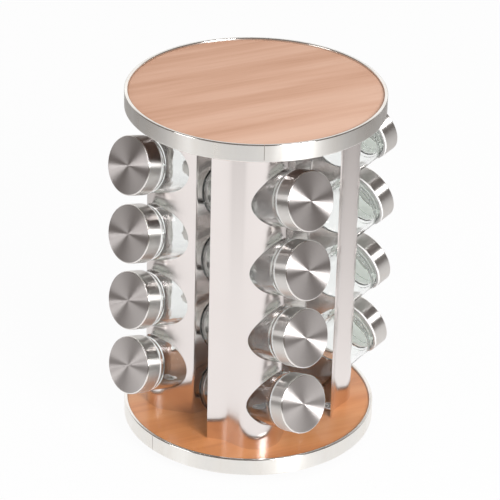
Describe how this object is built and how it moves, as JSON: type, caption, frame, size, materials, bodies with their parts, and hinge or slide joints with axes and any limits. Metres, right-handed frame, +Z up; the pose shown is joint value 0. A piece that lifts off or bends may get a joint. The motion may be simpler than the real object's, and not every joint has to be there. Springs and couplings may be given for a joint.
{
  "type": "rotating spice rack",
  "caption": "Turning spice rack: two round wooden boards in steel bands, joined by bent steel columns that hold tilted glass jars with steel caps.",
  "frame": {"origin": "On the turning axis, at the height of the surface that the foot stands on.", "axes": "+Z is up along the turning axis. -Y is the side of column a, which faces the viewer; column b faces +X, column c +Y and column d -X."},
  "size_m": [0.2102, 0.2102, 0.275],
  "materials": {
    "board": "pale straight-grained veneer under a thin clear lacquer",
    "band": "satin nickel-plated steel, brushed along the rim",
    "column": "thin sheet steel brushed to a near mirror",
    "cap": "spun steel with fine rings on the face and polished sides",
    "liner": "smooth white plastic",
    "jar": "clear pressed glass with a faint grey-green tint",
    "screw": "bright plated screws",
    "ball": "polished steel balls",
    "turntable": "dark moulded plastic, finely textured"
  },
  "bodies": {
    "foot": {"foot": "turntable"},
    "rack": {"base_board": "board", "base_band": "band", "top_board": "board", "top_band": "band", "column_a": "column", "column_b": "column", "column_c": "column", "column_d": "column", "fixing_screws": "screw", "turning_plate": "turntable", "bearing_balls": "ball"},
    "jar_a1": {"jar_a1": "jar"},
    "cap_a1": {"cap_a1": "cap", "liner_a1": "liner"},
    "jar_a2": {"jar_a2": "jar"},
    "cap_a2": {"cap_a2": "cap", "liner_a2": "liner"},
    "jar_a3": {"jar_a3": "jar"},
    "cap_a3": {"cap_a3": "cap", "liner_a3": "liner"},
    "jar_a4": {"jar_a4": "jar"},
    "cap_a4": {"cap_a4": "cap", "liner_a4": "liner"},
    "jar_b1": {"jar_b1": "jar"},
    "cap_b1": {"cap_b1": "cap", "liner_b1": "liner"},
    "jar_b2": {"jar_b2": "jar"},
    "cap_b2": {"cap_b2": "cap", "liner_b2": "liner"},
    "jar_b3": {"jar_b3": "jar"},
    "cap_b3": {"cap_b3": "cap", "liner_b3": "liner"},
    "jar_b4": {"jar_b4": "jar"},
    "cap_b4": {"cap_b4": "cap", "liner_b4": "liner"},
    "jar_c1": {"jar_c1": "jar"},
    "cap_c1": {"cap_c1": "cap", "liner_c1": "liner"},
    "jar_c2": {"jar_c2": "jar"},
    "cap_c2": {"cap_c2": "cap", "liner_c2": "liner"},
    "jar_c3": {"jar_c3": "jar"},
    "cap_c3": {"cap_c3": "cap", "liner_c3": "liner"},
    "jar_c4": {"jar_c4": "jar"},
    "cap_c4": {"cap_c4": "cap", "liner_c4": "liner"},
    "jar_d1": {"jar_d1": "jar"},
    "cap_d1": {"cap_d1": "cap", "liner_d1": "liner"},
    "jar_d2": {"jar_d2": "jar"},
    "cap_d2": {"cap_d2": "cap", "liner_d2": "liner"},
    "jar_d3": {"jar_d3": "jar"},
    "cap_d3": {"cap_d3": "cap", "liner_d3": "liner"},
    "jar_d4": {"jar_d4": "jar"},
    "cap_d4": {"cap_d4": "cap", "liner_d4": "liner"}
  },
  "joints": [
    {"name": "rack_turn", "type": "hinge", "parent": "foot", "child": "rack", "pos_m": [0, 0, 0], "axis": [0, 0, 1], "continuous": true},
    {"name": "jar_a1_slide", "type": "slide", "parent": "rack", "child": "jar_a1", "axis": [0.6657, -0.6941, 0.274], "range_m": [0, 0.08]},
    {"name": "cap_a1_lift", "type": "slide", "parent": "jar_a1", "child": "cap_a1", "axis": [0.6657, -0.6941, 0.274], "range_m": [0, 0.03]},
    {"name": "jar_a2_slide", "type": "slide", "parent": "rack", "child": "jar_a2", "axis": [0.6657, -0.6941, 0.274], "range_m": [0, 0.08]},
    {"name": "cap_a2_lift", "type": "slide", "parent": "jar_a2", "child": "cap_a2", "axis": [0.6657, -0.6941, 0.274], "range_m": [0, 0.03]},
    {"name": "jar_a3_slide", "type": "slide", "parent": "rack", "child": "jar_a3", "axis": [0.6657, -0.6941, 0.274], "range_m": [0, 0.08]},
    {"name": "cap_a3_lift", "type": "slide", "parent": "jar_a3", "child": "cap_a3", "axis": [0.6657, -0.6941, 0.274], "range_m": [0, 0.03]},
    {"name": "jar_a4_slide", "type": "slide", "parent": "rack", "child": "jar_a4", "axis": [0.6657, -0.6941, 0.274], "range_m": [0, 0.08]},
    {"name": "cap_a4_lift", "type": "slide", "parent": "jar_a4", "child": "cap_a4", "axis": [0.6657, -0.6941, 0.274], "range_m": [0, 0.03]},
    {"name": "jar_b1_slide", "type": "slide", "parent": "rack", "child": "jar_b1", "axis": [0.6941, 0.6657, 0.274], "range_m": [0, 0.08]},
    {"name": "cap_b1_lift", "type": "slide", "parent": "jar_b1", "child": "cap_b1", "axis": [0.6941, 0.6657, 0.274], "range_m": [0, 0.03]},
    {"name": "jar_b2_slide", "type": "slide", "parent": "rack", "child": "jar_b2", "axis": [0.6941, 0.6657, 0.274], "range_m": [0, 0.08]},
    {"name": "cap_b2_lift", "type": "slide", "parent": "jar_b2", "child": "cap_b2", "axis": [0.6941, 0.6657, 0.274], "range_m": [0, 0.03]},
    {"name": "jar_b3_slide", "type": "slide", "parent": "rack", "child": "jar_b3", "axis": [0.6941, 0.6657, 0.274], "range_m": [0, 0.08]},
    {"name": "cap_b3_lift", "type": "slide", "parent": "jar_b3", "child": "cap_b3", "axis": [0.6941, 0.6657, 0.274], "range_m": [0, 0.03]},
    {"name": "jar_b4_slide", "type": "slide", "parent": "rack", "child": "jar_b4", "axis": [0.6941, 0.6657, 0.274], "range_m": [0, 0.08]},
    {"name": "cap_b4_lift", "type": "slide", "parent": "jar_b4", "child": "cap_b4", "axis": [0.6941, 0.6657, 0.274], "range_m": [0, 0.03]},
    {"name": "jar_c1_slide", "type": "slide", "parent": "rack", "child": "jar_c1", "axis": [-0.6657, 0.6941, 0.274], "range_m": [0, 0.08]},
    {"name": "cap_c1_lift", "type": "slide", "parent": "jar_c1", "child": "cap_c1", "axis": [-0.6657, 0.6941, 0.274], "range_m": [0, 0.03]},
    {"name": "jar_c2_slide", "type": "slide", "parent": "rack", "child": "jar_c2", "axis": [-0.6657, 0.6941, 0.274], "range_m": [0, 0.08]},
    {"name": "cap_c2_lift", "type": "slide", "parent": "jar_c2", "child": "cap_c2", "axis": [-0.6657, 0.6941, 0.274], "range_m": [0, 0.03]},
    {"name": "jar_c3_slide", "type": "slide", "parent": "rack", "child": "jar_c3", "axis": [-0.6657, 0.6941, 0.274], "range_m": [0, 0.08]},
    {"name": "cap_c3_lift", "type": "slide", "parent": "jar_c3", "child": "cap_c3", "axis": [-0.6657, 0.6941, 0.274], "range_m": [0, 0.03]},
    {"name": "jar_c4_slide", "type": "slide", "parent": "rack", "child": "jar_c4", "axis": [-0.6657, 0.6941, 0.274], "range_m": [0, 0.08]},
    {"name": "cap_c4_lift", "type": "slide", "parent": "jar_c4", "child": "cap_c4", "axis": [-0.6657, 0.6941, 0.274], "range_m": [0, 0.03]},
    {"name": "jar_d1_slide", "type": "slide", "parent": "rack", "child": "jar_d1", "axis": [-0.6941, -0.6657, 0.274], "range_m": [0, 0.08]},
    {"name": "cap_d1_lift", "type": "slide", "parent": "jar_d1", "child": "cap_d1", "axis": [-0.6941, -0.6657, 0.274], "range_m": [0, 0.03]},
    {"name": "jar_d2_slide", "type": "slide", "parent": "rack", "child": "jar_d2", "axis": [-0.6941, -0.6657, 0.274], "range_m": [0, 0.08]},
    {"name": "cap_d2_lift", "type": "slide", "parent": "jar_d2", "child": "cap_d2", "axis": [-0.6941, -0.6657, 0.274], "range_m": [0, 0.03]},
    {"name": "jar_d3_slide", "type": "slide", "parent": "rack", "child": "jar_d3", "axis": [-0.6941, -0.6657, 0.274], "range_m": [0, 0.08]},
    {"name": "cap_d3_lift", "type": "slide", "parent": "jar_d3", "child": "cap_d3", "axis": [-0.6941, -0.6657, 0.274], "range_m": [0, 0.03]},
    {"name": "jar_d4_slide", "type": "slide", "parent": "rack", "child": "jar_d4", "axis": [-0.6941, -0.6657, 0.274], "range_m": [0, 0.08]},
    {"name": "cap_d4_lift", "type": "slide", "parent": "jar_d4", "child": "cap_d4", "axis": [-0.6941, -0.6657, 0.274], "range_m": [0, 0.03]}
  ]
}
